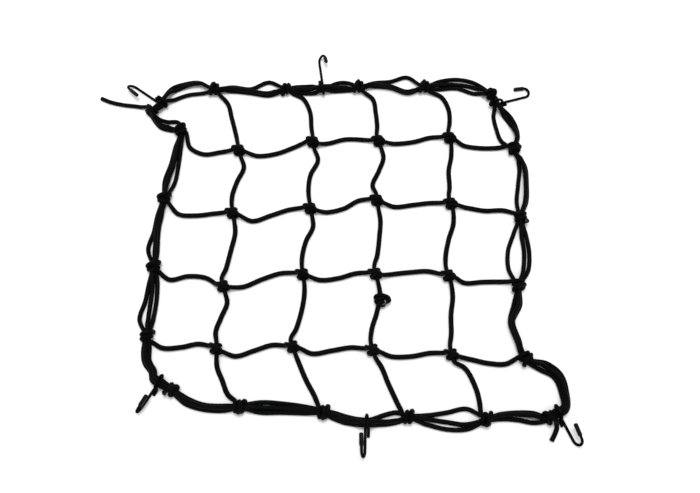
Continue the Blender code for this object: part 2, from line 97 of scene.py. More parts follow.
# Crossing knots, a row of the net on each line from the far side, with the turn of the knot's axis in
# degrees.
CROSSINGS = (
    (Knot(-95, 86, -76), Knot(-32, 94, -84), Knot(24, 95, -74), Knot(85, 98, -80)),
    (Knot(-97, 28, -78), Knot(-33, 32, -80), Knot(22, 39.5, -84), Knot(83, 36.5, -75)),
    (Knot(-101, -35, -72), Knot(-38, -25, -80), Knot(20, -24.5, -77), Knot(78, -26, -74)),
    (Knot(-103, -85, -86), Knot(-44.5, -83.5, -70), Knot(17, -86, -74), Knot(77.5, -89.5, -78)),
)

# How far each span of cord bows to the left of the straight line between its knots, at a quarter,
# a half and three quarters of the way. Rows run to the right, columns run to the near side.
ROW_SPANS = (
    (Span(-11.5, -13.4, -6), Span(-6.5, -6.3, -2), Span(-0.5, 3, 2.5),
     Span(-2.5, -1.5, 2), Span(-4, -3.5, -0.5)),
    (Span(-10.5, -8.5, -3.2), Span(-7.5, -3.3, 1), Span(-4.5, -3, 2.5),
     Span(-4.5, -2, 0.5), Span(0, 0.5, 4)),
    (Span(-6.5, 0.7, 3), Span(-2.5, 1.5, 4), Span(-4.5, -3, 1), Span(0.5, 2.5, 3.5), Span(-3.5, -0.5, 2)),
    (Span(-6.5, -3.5, 1.5), Span(-6, -2, 2), Span(-4.5, -1.5, 1.5),
     Span(-4, -3, 0.5), Span(-2.5, -4.8, -4.3)),
)
COLUMN_SPANS = (
    (Span(6.5, 5, 3), Span(5.5, 0.8, -2), Span(4, 2.5, 0.5), Span(4.5, 1, -2), Span(-4.5, -5, -5)),
    (Span(10, 10, 5), Span(5, -1, -2), Span(4, -0.5, -2), Span(3.5, 3.2, 1), Span(-0.8, -1.5, -1)),
    (Span(9, 7.3, 4), Span(5, 1.3, -3.5), Span(3.5, 3, 1.5), Span(4.5, 2.7, -1), Span(0.3, -1, -1.8)),
    (Span(11, 12, 7), Span(2, -0.5, 0), Span(3.5, 0, -2), Span(3.5, 1.5, 1), Span(4.5, 5, 2)),
)

# Stops along the rim, clockwise from the far left corner: the way the outer side faces in degrees,
# the turns of the knot (over the strands first where positive, none at a hook's eye), and how far
# each strand bows outwards on the way to the next stop.
NO_BOW = None
EYE = 0
RIM = (
    Station("far_left", -172.5, 123.5, 149, 2.2, NO_BOW, NO_BOW, NO_BOW),
    Station("hook_far_left", -164.5, 131.5, 144, EYE,
            Span(14, 15, 13), Span(2, 3, 1), Span(10, 11.7, 10.3)),
    Station("far_1", -120, 146, 92, 2.25,
            Span(3.8, 1.8, 8.5), Span(-0.5, -2.4, -5), Span(0.3, -2.2, -4.8)),
    Station("far_2", -56, 146.5, 90, -1.75, Span(3.5, 4, 4), Span(-1.5, -3, -3), Span(0, -0.5, 0)),
    Station("hook_far", -23.5, 146.5, 98, EYE,
            Span(4.8, 7, 6), Span(-1.5, -1.5, -1.5), Span(0.5, 0.2, -0.3)),
    Station("far_3", 7, 148.5, 90, 1.75, Span(5.8, 7.2, 11.5), Span(1.8, 0.6, -4.7), Span(1.8, 0, -5.3)),
    Station("far_4", 65, 148.5, 90, 2.2, Span(9.3, 12.8, 11.3), Span(1, 3.6, 0.3), Span(4.3, 7.4, 6.2)),
    Station("far_right", 122.5, 141.5, 40, 1.8, NO_BOW, NO_BOW, NO_BOW),
    Station("hook_far_right", 127, 132.5, 15.5, EYE,
            Span(7.5, 10, 8.5), Span(-5.3, -7, -7.2), Span(3.1, 6.3, 6.8)),
    Station("right_1", 140, 87, 5, 2.25, Span(8.5, 8.6, 7), Span(3.5, 1.4, -1.2), Span(6.5, 7, 5.3)),
    Station("right_2", 140, 24, 0, -2.25, Span(5.6, 8.5, 8), Span(-4.8, -8.6, -7.9), Span(1.8, 4.3, 4)),
    Station("right_3", 133.5, -35, 0, 1.75,
            Span(0.5, -6.8, -3.7), Span(-4.6, -9.4, -6), Span(-1.5, -8, -5)),
    Station("right_4", 134.5, -93, 30, 1.8,
            Span(13.5, 17.6, 14.8), Span(5, 11.8, 10), Span(9.5, 14.5, 12.2)),
    Station("hook_near_right", 155.8, -132.8, 294, EYE, NO_BOW, NO_BOW, NO_BOW),
    Station("near_right", 148.5, -137, 292, -1.9,
            Span(3.2, 1, 0), Span(-3.8, -4.4, -3.6), Span(-1.6, -2.8, -2.6)),
    Station("near_4", 101.5, -138, 270, 2.25,
            Span(7.5, 8, 5), Span(-7.3, -4.2, -1.8), Span(4.2, 2.8, 1.1)),
    Station("near_3", 43, -136.5, 270, -1.75,
            Span(2.5, 3, 2.5), Span(-4.5, -4, -2.4), Span(1.5, 1.5, 0.5)),
    Station("hook_near", 11.5, -140.5, 268.5, EYE,
            Span(3, 3.5, 2.5), Span(-1, -1, -1.5), Span(1, 1.5, 0.5)),
    Station("near_2", -19.5, -133, 268, 1.75,
            Span(1.5, 2, 3), Span(-3.5, -4.5, -4.5), Span(-1, -1, -0.5)),
    Station("near_1", -82, -129, 265, 2.25, Span(6, 8.2, 7.4), Span(2.5, 4.8, 3.2), Span(4.2, 6.4, 5.2)),
    Station("near_left", -134.5, -116.5, 236, 1.75, NO_BOW, NO_BOW, NO_BOW),
    Station("hook_near_left", -145, -110.2, 239, EYE,
            Span(4.2, 7, 5.6), Span(0.8, 3, 0.8), Span(2.5, 5, 3.2)),
    Station("left_4", -157, -75.5, 185, -1.75, Span(7.8, 4.8, 3.3), Span(-3, -4, -3.5), Span(1, 0.5, 0)),
    Station("left_3", -157, -18.5, 180, 2.25,
            Span(7.6, 5.2, 4.3), Span(0, 1.4, 0.7), Span(1.2, 2.4, 2.2)),
    Station("left_2", -154, 41.5, 175, 1.75,
            Span(4, 2.2, 1.8), Span(-4.8, -4.4, -3), Span(0.8, -0.8, -0.6)),
    Station("left_1", -146, 105.5, 200, 2.3, Span(4.3, 7, 5.4), Span(-5.2, -0.4, 1.6), Span(3, 6, 4.6)),
)
STATIONS = {station.name: station for station in RIM}

SHEATH_YARNS = 8.0                    # yarns each way round the sheath
SHEATH_LAY = 15.0                     # length in which a yarn goes once round


def sheath(name, dark, crown_highlight, roughness):
    """Braided polyester sheath: two sets of yarns pass over and under each other round the cord."""
    material = bpy.data.materials.new(name)
    material.use_nodes = True
    nodes, links = material.node_tree.nodes, material.node_tree.links
    shader = nodes["Principled BSDF"]
    shader.inputs["Specular IOR Level"].default_value = 0.07
    shader.inputs["IOR"].default_value = 1.3

    def maths(operation, *values):
        node = nodes.new("ShaderNodeMath")
        node.operation = operation
        for socket, value in zip(node.inputs, values):
            if isinstance(value, float):
                socket.default_value = value
            else:
                links.new(value, socket)
        return node.outputs[0]

    place = nodes.new("ShaderNodeUVMap")
    place.uv_map = "along_and_round"
    split = nodes.new("ShaderNodeSeparateXYZ")
    links.new(place.outputs["UV"], split.inputs[0])
    along = maths("MULTIPLY", split.outputs["X"], math.pi * SHEATH_YARNS / SHEATH_LAY)
    around = maths("MULTIPLY", split.outputs["Y"], math.pi * SHEATH_YARNS)
    right_lay = maths("SINE", maths("ADD", around, along))
    left_lay = maths("SINE", maths("SUBTRACT", around, along))
    right_round = maths("ABSOLUTE", right_lay)
    left_round = maths("ABSOLUTE", left_lay)
    right_yarn = maths("MULTIPLY", right_round, maths("MULTIPLY_ADD", left_round, 0.5, 0.5))
    left_yarn = maths("MULTIPLY", left_round, maths("MULTIPLY_ADD", right_round, 0.5, 0.5))
    on_top = maths("GREATER_THAN", maths("MULTIPLY", right_lay, left_lay), 0.0)
    yarn = nodes.new("ShaderNodeMix")
    links.new(on_top, yarn.inputs["Factor"])
    links.new(left_yarn, yarn.inputs["A"])
    links.new(right_yarn, yarn.inputs["B"])
    weave = yarn.outputs["Result"]

    fibres = nodes.new("ShaderNodeTexNoise")
    fibres.inputs["Scale"].default_value = 2600.0
    fibres.inputs["Detail"].default_value = 3.0
    patches = nodes.new("ShaderNodeTexNoise")
    patches.inputs["Scale"].default_value = 55.0
    patches.inputs["Detail"].default_value = 2.0
    where = nodes.new("ShaderNodeTexCoord")
    for noise in (fibres, patches):
        links.new(where.outputs["Object"], noise.inputs["Vector"])

    # The crowns of the yarns are painted up to the lighter colour and the hollows between them stay dark:
    # a painted highlight and shade, varied in random patches of tone. The same mask makes the crowns a
    # little less rough.
    sheen_and_polish = maths("MULTIPLY", weave, patches.outputs["Fac"])
    colour = nodes.new("ShaderNodeMixRGB")
    colour.inputs["Color1"].default_value = (*dark, 1.0)
    colour.inputs["Color2"].default_value = (*crown_highlight, 1.0)
    links.new(sheen_and_polish, colour.inputs["Fac"])
    links.new(colour.outputs["Color"], shader.inputs["Base Color"])
    rough = nodes.new("ShaderNodeMapRange")
    rough.inputs["To Min"].default_value = roughness + 0.12
    rough.inputs["To Max"].default_value = roughness - 0.08
    links.new(sheen_and_polish, rough.inputs["Value"])
    links.new(rough.outputs["Result"], shader.inputs["Roughness"])

    bump = nodes.new("ShaderNodeBump")
    bump.inputs["Strength"].default_value = 0.5
    bump.inputs["Distance"].default_value = 0.00022
    links.new(maths("MULTIPLY_ADD", fibres.outputs["Fac"], 0.25, weave), bump.inputs["Height"])
    links.new(bump.outputs["Normal"], shader.inputs["Normal"])
    return material


def in_frame(place):
    """Where a knot or station of the plan lies in the frame."""
    return Vector((place.x, place.y)) + NET_SHIFT


def stop(spot, height, thickness):
    """A stop of a cord: place in plan, height of its centre, share of its full thickness."""
    return Vector((spot.x, spot.y, height, thickness))


def bowed(start, end, span, height):
    """The three stops of a span, off the straight line between its ends."""
    along = end - start
    left = Vector((-along.y, along.x)).normalized()
    spots = [start + along * share + left * bow for share, bow in zip((0.25, 0.5, 0.75), span)]
    return [stop(spot, height, 1.0) for spot in spots]


def flowing(stops, closed):
    """Points of a smooth cord through the stops. Its height and thickness never swing past them."""
    legs = len(stops) if closed else len(stops) - 1
    runs = [stops[(leg + 1) % len(stops)] - stops[leg] for leg in range(legs)]
    lengths = [run.xyz.length for run in runs]
    slopes = [run / length for run, length in zip(runs, lengths)]
    ways = []
    for index in range(len(stops)):
        before = index - 1 if closed or index > 0 else 0
        after = index if index < legs else legs - 1
        share = lengths[before] / (lengths[before] + lengths[after])
        way = slopes[before].lerp(slopes[after], share)
        for level in (2, 3):
            coming, going = slopes[before][level], slopes[after][level]
            way[level] = 2 * coming * going / (coming + going) if coming * going > 0 else 0.0
        ways.append(way)
    points = []
    for leg in range(legs):
        start, end = stops[leg], stops[(leg + 1) % len(stops)]
        leaving = ways[leg] * lengths[leg]
        arriving = ways[(leg + 1) % len(stops)] * lengths[leg]
        steps = max(1, round(lengths[leg] / CORD_STEP))
        for step in range(steps):
            t = step / steps
            ease = t * t * (3 - 2 * t)
            point = start * (1 - ease) + end * ease
            points.append(point + leaving * (t * (1 - t) ** 2) - arriving * (t * t * (1 - t)))
    if not closed:
        points.append(stops[-1])
    return points


def wound(centre, along, across, reach, rise, height, pitch, turns):
    """Stops of a cord wound round an axis, starting over it, or under it where the rise is negative."""
    stops = []
    count = round(turns * TURN_STOPS)
    for index in range(count + 1):
        turned = index / TURN_STOPS
        angle = 2 * math.pi * turned
        spot = centre + along * (pitch * (turned - turns / 2)) + across * (reach * math.sin(angle))
        stops.append(stop(spot, height + rise * math.cos(angle), TIED))
    return stops


def hitched(hitch, centre, along, across, reach, rise, height, pitch):
    """Stops of a cord hitched round an axis, from the side opposite to across, to that side."""
    stops = []
    for turn, following in zip(hitch, hitch[1:]):
        steps = round((following.turned - turn.turned) * TURN_STOPS)
        for step in range(steps):
            share = step / steps
            angle = 2 * math.pi * (turn.turned + (following.turned - turn.turned) * share)
            drift = (turn.drift + (following.drift - turn.drift) * share) * pitch
            lift = (turn.lift + (following.lift - turn.lift) * share) * CORD_D * TIED
            spot = centre + along * drift + across * ((reach + lift) * math.sin(angle))
            stops.append(stop(spot, height + (rise + lift) * math.cos(angle), TIED))
    return stops


def outward(station):
    facing = math.radians(station.facing)
    return Vector((math.cos(facing), math.sin(facing)))


def tied_to_rim(station, coming_from):
    """Stops of a cord's end: round the strands from the side that it comes from, then a short stub."""
    out = outward(station)
    along = Vector((out.y, -out.x))
    if along.dot(coming_from - in_frame(station)) > 0:
        along = -along
    if station.turns > 0:
        stops = hitched(
            RIM_HITCH, in_frame(station), along, out, RIM_REACH, RIM_RISE, RIM_HEIGHT, RIM_PITCH,
        )
    else:
        stops = wound(
            in_frame(station), along, out, RIM_REACH, -RIM_RISE, RIM_HEIGHT, RIM_PITCH, -station.turns,
        )
    way = (stops[-1] - stops[-2]).xyz.normalized() * STUB
    tip = stops[-1] + Vector((*way, 0.0))
    tip.z = max(tip.z, CORD_D / 2)
    tip.w = CUT_END
    return stops + [tip]


def cord_piece(name, points, thickness, closed, sheathing):
    """A round cord along the points, with a UV map in millimetres along it and one turn round it."""
    drawing = bpy.data.curves.new(name, "CURVE")
    drawing.dimensions = "3D"
    drawing.bevel_depth = thickness / 2 * MM
    drawing.bevel_resolution = CORD_SIDES
    drawing.twist_mode = "MINIMUM"
    line = drawing.splines.new("POLY")
    line.points.add(len(points) - 1)
    line.use_cyclic_u = closed
    for handle, point in zip(line.points, points):
        handle.co = (*(point.xyz * MM), 1.0)
        handle.radius = point.w
    piece = bpy.data.objects.new(name, drawing)
    bpy.context.scene.collection.objects.link(piece)
    bpy.ops.object.select_all(action="DESELECT")
    piece.select_set(True)
    bpy.context.view_layer.objects.active = piece
    bpy.ops.object.convert(target="MESH")
    piece = bpy.context.object
    piece.name = name
    length = sum((b - a).xyz.length for a, b in zip(points, points[1:]))
    layer = piece.data.uv_layers[0]
    layer.name = "along_and_round"
    for corner in layer.data:
        corner.uv.x *= length
    piece.data.materials.append(sheathing)
    bpy.ops.object.shade_smooth()
    return piece


SHEATH_SUNK = 0.15                    # the core starts this far inside a cut end
CORE_EDGE = 0.1                       # width of the core's side wall
NOSE_EDGE = 0.35                      # and of the slope round its nose
NOSE_RISE = 0.2


def close_ends(piece, core, inset, proud):
    """Cut ends: a ring of sheath round the end of the core, which stands a little proud of it."""
    piece.data.materials.append(core)
    bpy.ops.object.select_all(action="DESELECT")
    piece.select_set(True)
    bpy.context.view_layer.objects.active = piece
    bpy.ops.object.mode_set(mode="EDIT")
    bpy.ops.mesh.select_mode(type="VERT")
    bpy.ops.mesh.select_all(action="DESELECT")
    bpy.ops.mesh.select_non_manifold()
    bpy.ops.mesh.fill_holes(sides=0)
    bpy.ops.mesh.select_mode(type="FACE")
    bpy.ops.mesh.select_all(action="DESELECT")
    bpy.ops.object.mode_set(mode="OBJECT")
    for face in piece.data.polygons:
        face.select = len(face.vertices) > 4
    bpy.ops.object.mode_set(mode="EDIT")
    bpy.ops.mesh.inset(thickness=inset * MM, depth=-SHEATH_SUNK * MM, use_individual=True)
    piece.active_material_index = len(piece.data.materials) - 1
    bpy.ops.object.material_slot_assign()
    bpy.ops.mesh.inset(thickness=CORE_EDGE * MM, depth=proud * MM, use_individual=True)
    bpy.ops.mesh.inset(thickness=NOSE_EDGE * MM, depth=NOSE_RISE * MM, use_individual=True)
    bpy.ops.mesh.select_all(action="SELECT")
    bpy.ops.mesh.normals_make_consistent(inside=False)
    bpy.ops.object.mode_set(mode="OBJECT")


def melted(name):
    """Black sheath melted over a cut end."""
    material = bpy.data.materials.new(name)
    material.use_nodes = True
    nodes, links = material.node_tree.nodes, material.node_tree.links
    shader = nodes["Principled BSDF"]
    shader.inputs["Base Color"].default_value = (0.007, 0.007, 0.008, 1.0)
    shader.inputs["Roughness"].default_value = 0.5
    shader.inputs["Specular IOR Level"].default_value = 0.3
    where = nodes.new("ShaderNodeTexCoord")
    lumps = nodes.new("ShaderNodeTexNoise")
    lumps.inputs["Scale"].default_value = 900.0
    bump = nodes.new("ShaderNodeBump")
    bump.inputs["Strength"].default_value = 0.5
    bump.inputs["Distance"].default_value = 0.0003
    links.new(where.outputs["Object"], lumps.inputs["Vector"])
    links.new(lumps.outputs["Fac"], bump.inputs["Height"])
    links.new(bump.outputs["Normal"], shader.inputs["Normal"])
    return material


MELTED_INSET = 0.5
MELTED_PROUD = 0.25

# Each sheath gets its own black, then the colour of the painted highlight on its yarn crowns, then its
# roughness.
mesh_sheath = sheath("mesh_cord_sheath", (0.0005, 0.0005, 0.0005), (0.005, 0.005, 0.0052), 0.45)
melted_end = melted("melted_cord_end")


def mesh_cord(name, start, crossings, end, spans, wind_or_thread):
    """One cord of the mesh, tied to the rim at both ends."""
    rest = CORD_D / 2
    places = [in_frame(STATIONS[start])] + [in_frame(knot) for knot in crossings]
    places.append(in_frame(STATIONS[end]))
    laid = [bowed(a, b, span, rest) for a, b, span in zip(places, places[1:], spans)]
    stops = tied_to_rim(STATIONS[start], laid[0][0].xy)[::-1] + laid[0]
    for knot, span in zip(crossings, laid[1:]):
        stops += wind_or_thread(knot) + span
    stops += tied_to_rim(STATIONS[end], stops[-1].xy)
    piece = cord_piece(name, flowing(stops, False), CORD_D, False, mesh_sheath)
    close_ends(piece, melted_end, MELTED_INSET, MELTED_PROUD)
    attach(piece, "root")
    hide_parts("net_mesh")


def wind(knot):
    """The cord across is hitched round the cord down."""
    turn = math.radians(knot.turn)
    along = Vector((math.cos(turn), math.sin(turn)))
    across = Vector((-math.sin(turn), math.cos(turn)))
    height = CROSSING_RISE + CORD_D / 2 * TIED
    return hitched(
        HITCH, in_frame(knot), along, across, CROSSING_REACH, CROSSING_RISE, height, CROSSING_PITCH,
    )


def thread(knot):
    """The cord down runs through the turns of the cord across."""
    turn = math.radians(knot.turn)
    way = Vector((math.cos(turn), math.sin(turn))) * CORE_HALF
    height = CROSSING_RISE + CORD_D / 2 * TIED
    middle = in_frame(knot) + CORE_ASIDE
    return [stop(middle + way * side, height, TIED) for side in (-1, 0, 1)]


for row, (knots, spans) in enumerate(zip(CROSSINGS, ROW_SPANS), 1):
    mesh_cord(f"mesh_cord_across_{row}", f"left_{row}", knots, f"right_{row}", spans, wind)
for column, spans in enumerate(COLUMN_SPANS, 1):
    knots = [row[column - 1] for row in CROSSINGS]
    mesh_cord(f"mesh_cord_down_{column}", f"far_{column}", knots, f"near_{column}", spans, thread)


# ---- Join in a mesh cord ----
# One cord down was made up from two lengths. Their ends are wound round each other and pulled
# tight, and left as a small loop and two cut ends that show the pale rubber core.

JOIN = Vector((23.2, -46.5))
JOIN_AXIS = Vector((0.12, -1.0))
JOIN_REACH = 2.9
JOIN_HEIGHT = 4.65
JOIN_TURNS = 2.0
JOIN_PITCH = 3.2
CORE_INSET = 0.55
CORE_PROUD = 0.35
JoinStop = namedtuple("JoinStop", "x y height")
LOOP_END = (
    JoinStop(27.2, -48.6, 6.4), JoinStop(29.0, -47.9, 5.2), JoinStop(30.6, -46.4, 3.9),
    JoinStop(29.8, -44.4, 3.8), JoinStop(27.4, -43.6, 4.6),
)
SHORT_END = (JoinStop(25.6, -50.4, 3.8), JoinStop(26.2, -50.0, 5.2), JoinStop(25.9, -49.6, 6.4))


def rubber(name):
    """Pale grey strands of rubber at the end of a cut core, each painted darker towards its edge where it
    sinks between its neighbours: painted shade in the gaps.
    """
    material = bpy.data.materials.new(name)
    material.use_nodes = True
    nodes, links = material.node_tree.nodes, material.node_tree.links
    shader = nodes["Principled BSDF"]
    shader.inputs["Roughness"].default_value = 0.7
    where = nodes.new("ShaderNodeTexCoord")
    threads = nodes.new("ShaderNodeTexVoronoi")
    threads.inputs["Scale"].default_value = 2200.0
    # Pale in the middle of each strand, darkening to its edge: painted shade between the strands.
    tones = nodes.new("ShaderNodeValToRGB")
    tones.color_ramp.elements[0].color = (0.36, 0.35, 0.33, 1.0)
    tones.color_ramp.elements[1].color = (0.1, 0.1, 0.1, 1.0)
    tones.color_ramp.elements[1].position = 0.75
    bump = nodes.new("ShaderNodeBump")
    bump.invert = True
    bump.inputs["Strength"].default_value = 0.6
    bump.inputs["Distance"].default_value = 0.0002
    links.new(where.outputs["Object"], threads.inputs["Vector"])
    links.new(threads.outputs["Distance"], tones.inputs["Fac"])
    links.new(tones.outputs["Color"], shader.inputs["Base Color"])
    links.new(threads.outputs["Distance"], bump.inputs["Height"])
    links.new(bump.outputs["Normal"], shader.inputs["Normal"])
    return material


def join_route(places):
    return [stop(in_frame(place), place.height, 1.0) for place in places]


axis = JOIN_AXIS.normalized()
beside = Vector((-axis.y, axis.x))
join_stops = join_route(LOOP_END) + wound(
    JOIN + NET_SHIFT, axis, -beside, JOIN_REACH, CROSSING_RISE, JOIN_HEIGHT, JOIN_PITCH, JOIN_TURNS,
)
join_stops += join_route(SHORT_END)
join = cord_piece("join_turns", flowing(join_stops, False), CORD_D, False, mesh_sheath)
close_ends(join, rubber("cut_rubber_core"), CORE_INSET, CORE_PROUD)
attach(join, "root")
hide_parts("net_mesh")


# ---- Rim strands ----
# One long elastic cord is led three times round the net, so that the rim is three strands side by
# side, slack between the knots. The inner one rides over the outer one, and the third over both.

STRAND_D = 3.6
SQUEEZED = 0.82                       # share of its thickness that a strand keeps inside a knot
SQUEEZED_SIDE = 1.35
KNOT_STRAND_HEIGHT = RIM_HEIGHT - 1.0
KNOT_THIRD_HEIGHT = RIM_HEIGHT + 1.1
EYE_SIDE = 1.95
EYE_HALF = 3.5                        # half the length of strand that runs straight through an eye
EYE_STRAND_HEIGHT = 5.1
LIFT_START = 6.0                      # from a knot: where a strand starts to ride up
LIFT_END = 11.0                       # and where it is fully up
SETTLING = 3                          # points each way over which its height is evened out

rim_sheath = sheath("rim_cord_sheath", (0.0006, 0.0006, 0.0006), (0.0057, 0.0057, 0.0058), 0.42)


def strand_stops(side, field):
    """Stops of one strand once round the net, at its own side of the knots and eyes."""
    stops = []
    for station, following in zip(RIM, RIM[1:] + RIM[:1]):
        here, there, out = in_frame(station), in_frame(following), outward(station)
        if station.turns == EYE:
            along = Vector((out.y, -out.x)) * EYE_HALF
            place = here + out * side * EYE_SIDE
            stops.append(stop(place - along, EYE_STRAND_HEIGHT, 1.0))
            stops.append(stop(place + along, EYE_STRAND_HEIGHT, 1.0))
        else:
            height = KNOT_THIRD_HEIGHT if side == 0 else KNOT_STRAND_HEIGHT
            stops.append(stop(here + out * side * SQUEEZED_SIDE, height, SQUEEZED))
        span = getattr(station, field)
        if span is not None:
            stops += bowed(here, there, span, STRAND_D / 2)
    return stops


def ride_up(points, below):
    """Lifts a strand's points clear of the strands below it, except inside the knots."""
    places = KDTree(len(below))
    for index, point in enumerate(below):
        places.insert((point.x, point.y, 0.0), index)
    places.balance()
    knots = [in_frame(station) for station in RIM if station.turns != EYE]
    heights = []
    for point in points:
        lifted = point.z
        for _, index, apart in places.find_range((point.x, point.y, 0.0), STRAND_D):
            lifted = max(lifted, below[index].z + math.sqrt(STRAND_D ** 2 - apart ** 2))
        gap = min((point.xy - knot).length for knot in knots)
        share = min(1.0, max(0.0, (gap - LIFT_START) / (LIFT_END - LIFT_START)))
        heights.append(point.z + (lifted - point.z) * share)
    for index, point in enumerate(points):
        near = [heights[(index + shift) % len(heights)] for shift in range(-SETTLING, SETTLING + 1)]
        point.z = max(sum(near) / len(near), min(heights[index], point.z + STRAND_D))


outer_points = flowing(strand_stops(1, "outer"), True)
inner_points = flowing(strand_stops(-1, "inner"), True)
third_points = flowing(strand_stops(0, "third"), True)
ride_up(inner_points, outer_points)
ride_up(third_points, outer_points + inner_points)
for name, points in (("outer", outer_points), ("inner", inner_points), ("third", third_points)):
    strand = cord_piece(f"rim_strand_{name}", points, STRAND_D, True, rim_sheath)
    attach(strand, "root")
    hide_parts("net_rim")


# ---- Corner knots and free ends ----
# Near each corner hook a short end of the rim cord is wound round the strands and pulled tight. At
# two corners it runs on as a free end that lies on the floor.

FAR_LEFT_TAIL = (
    Vector((-185.5, 130)), Vector((-200, 132)), Vector((-211, 134.8)), Vector((-219, 138.3)),
)
NEAR_RIGHT_TAIL = (Vector((153.5, -144)), Vector((151.6, -148.5)), Vector((148.6, -153.5)))


def corner_knot(name, station, tail):
    out = outward(station)
    along = Vector((out.y, -out.x)) * math.copysign(1.0, station.turns)
    stops = hitched(HITCH, in_frame(station), along, out, RIM_REACH, RIM_RISE, RIM_HEIGHT, RIM_PITCH)
    stops += [stop(spot + NET_SHIFT, STRAND_D / 2, 1.0) for spot in tail]
    if not tail:
        way = (stops[-1] - stops[-2]).xyz.normalized() * STUB
        stops.append(stops[-1] + Vector((*way, 0.0)))
        stops[-1].z = max(stops[-1].z, CORD_D / 2)
    piece = cord_piece(name, flowing(stops, False), STRAND_D, False, rim_sheath)
    close_ends(piece, melted_end, MELTED_INSET, MELTED_PROUD)
    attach(piece, "root")
    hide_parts("net_rim")


corner_knot("corner_knot_far_left", STATIONS["far_left"], FAR_LEFT_TAIL)
corner_knot("corner_knot_far_right", STATIONS["far_right"], ())
corner_knot("corner_knot_near_right", STATIONS["near_right"], NEAR_RIGHT_TAIL)
corner_knot("corner_knot_near_left", STATIONS["near_left"], ())


# ---- Wire hooks ----
# Six hooks bent from dark plated steel wire. One end goes round the strands as an eye, with its cut
# end beside the long leg, and the other is bent back into a J that is put over a rail.

WIRE_D = 2.2
WIRE_SIDES = 4                        # bevel resolution: twelve sides
BEND_R = 4.25
BEND_STEPS = 18
SPLAY = math.radians(8.0)
RING_R = 5.3                          # the eye: radius, and how far round the wire goes
RING_TURN = math.radians(286.0)
RING_STEPS = 44
LEG_START = 8.0                       # from the eye's foot: where the long leg runs straight
WIRE_END_ASIDE = 2.4                  # the eye's cut end lies this far beside the long leg
WIRE_END_DROP = ((5.9, 2.1), (7.3, 1.15))   # along and up: two stops on its way down
WIRE_END_REACH = 10.5

Hook = namedtuple("Hook", "name length tip side tilt")

# Eye to the outside of the bend, bend to tip, the side the short leg is on (1 is left, looking
# outwards) and how far the hook leans up on its long leg.
HOOKS = (
    Hook("hook_far_left", 36.5, 15.0, 1, 42.0),
    Hook("hook_far", 35.0, 9.5, -1, 50.0),
    Hook("hook_far_right", 34.5, 12.0, 1, 5.0),
    Hook("hook_near_right", 28.0, 15.0, 1, 62.0),
    Hook("hook_near", 25.5, 16.5, -1, 72.0),
    Hook("hook_near_left", 27.5, 14.0, -1, 95.0),
)


def plated_steel(name):
    """Dark plated wire: glossy, with faint bumps and duller patches."""
    material = bpy.data.materials.new(name)
    material.use_nodes = True
    nodes, links = material.node_tree.nodes, material.node_tree.links
    shader = nodes["Principled BSDF"]
    shader.inputs["Metallic"].default_value = 0.9
    shader.inputs["Specular Tint"].default_value = (0.15, 0.15, 0.15, 1.0)
    where = nodes.new("ShaderNodeTexCoord")
    patches = nodes.new("ShaderNodeTexNoise")
    patches.inputs["Scale"].default_value = 260.0
    patches.inputs["Detail"].default_value = 4.0
    tones = nodes.new("ShaderNodeValToRGB")
    tones.color_ramp.elements[0].color = (0.0015, 0.0015, 0.0017, 1.0)
    tones.color_ramp.elements[0].position = 0.35
    tones.color_ramp.elements[1].color = (0.007, 0.007, 0.0074, 1.0)
    tones.color_ramp.elements[1].position = 0.7
    rough = nodes.new("ShaderNodeMapRange")
    rough.inputs["To Min"].default_value = 0.22
    rough.inputs["To Max"].default_value = 0.42
    bump = nodes.new("ShaderNodeBump")
    bump.inputs["Strength"].default_value = 0.15
    bump.inputs["Distance"].default_value = 0.0001
    links.new(where.outputs["Object"], patches.inputs["Vector"])
    links.new(patches.outputs["Fac"], tones.inputs["Fac"])
    links.new(patches.outputs["Fac"], rough.inputs["Value"])
    links.new(patches.outputs["Fac"], bump.inputs["Height"])
    links.new(tones.outputs["Color"], shader.inputs["Base Color"])
    links.new(rough.outputs["Result"], shader.inputs["Roughness"])
    links.new(bump.outputs["Normal"], shader.inputs["Normal"])
    return material


def hook_points(hook):
    """Centre line of the wire in the hook's own frame, +X outwards, from the tip to the eye's cut end."""
    tilt = math.radians(hook.tilt)
    low = WIRE_D / 2
    bend_x = hook.length - low - BEND_R
    opening = math.pi - SPLAY
    flat = []
    for step in range(BEND_STEPS + 1):
        angle = opening * (1 - step / BEND_STEPS)
        flat.append(Vector((bend_x + BEND_R * math.sin(angle), BEND_R - BEND_R * math.cos(angle))))
    back = Vector((math.cos(opening), math.sin(opening)))
    short_leg = (flat[0].x - (hook.length - hook.tip)) / -back.x
    flat = [flat[0] + back * short_leg] + flat + [Vector((LEG_START, 0))]
    points = [
        Vector((point.x, hook.side * point.y * math.cos(tilt), low + point.y * math.sin(tilt)))
        for point in flat
    ]
    aside = -hook.side * WIRE_END_ASIDE
    for step in range(RING_STEPS + 1):
        angle = RING_TURN * step / RING_STEPS
        drift = aside * step / RING_STEPS
        points.append(Vector((-RING_R * math.sin(angle), drift, low + RING_R - RING_R * math.cos(angle))))
    points += [Vector((along, aside, height)) for along, height in WIRE_END_DROP]
    return points + [Vector((WIRE_END_REACH, aside, low))]


def hook_place(hook):
    station = STATIONS[hook.name]
    spot = in_frame(station)
    place = Matrix.Translation((spot.x, spot.y, 0.0))
    return place @ Matrix.Rotation(math.radians(station.facing), 4, "Z")


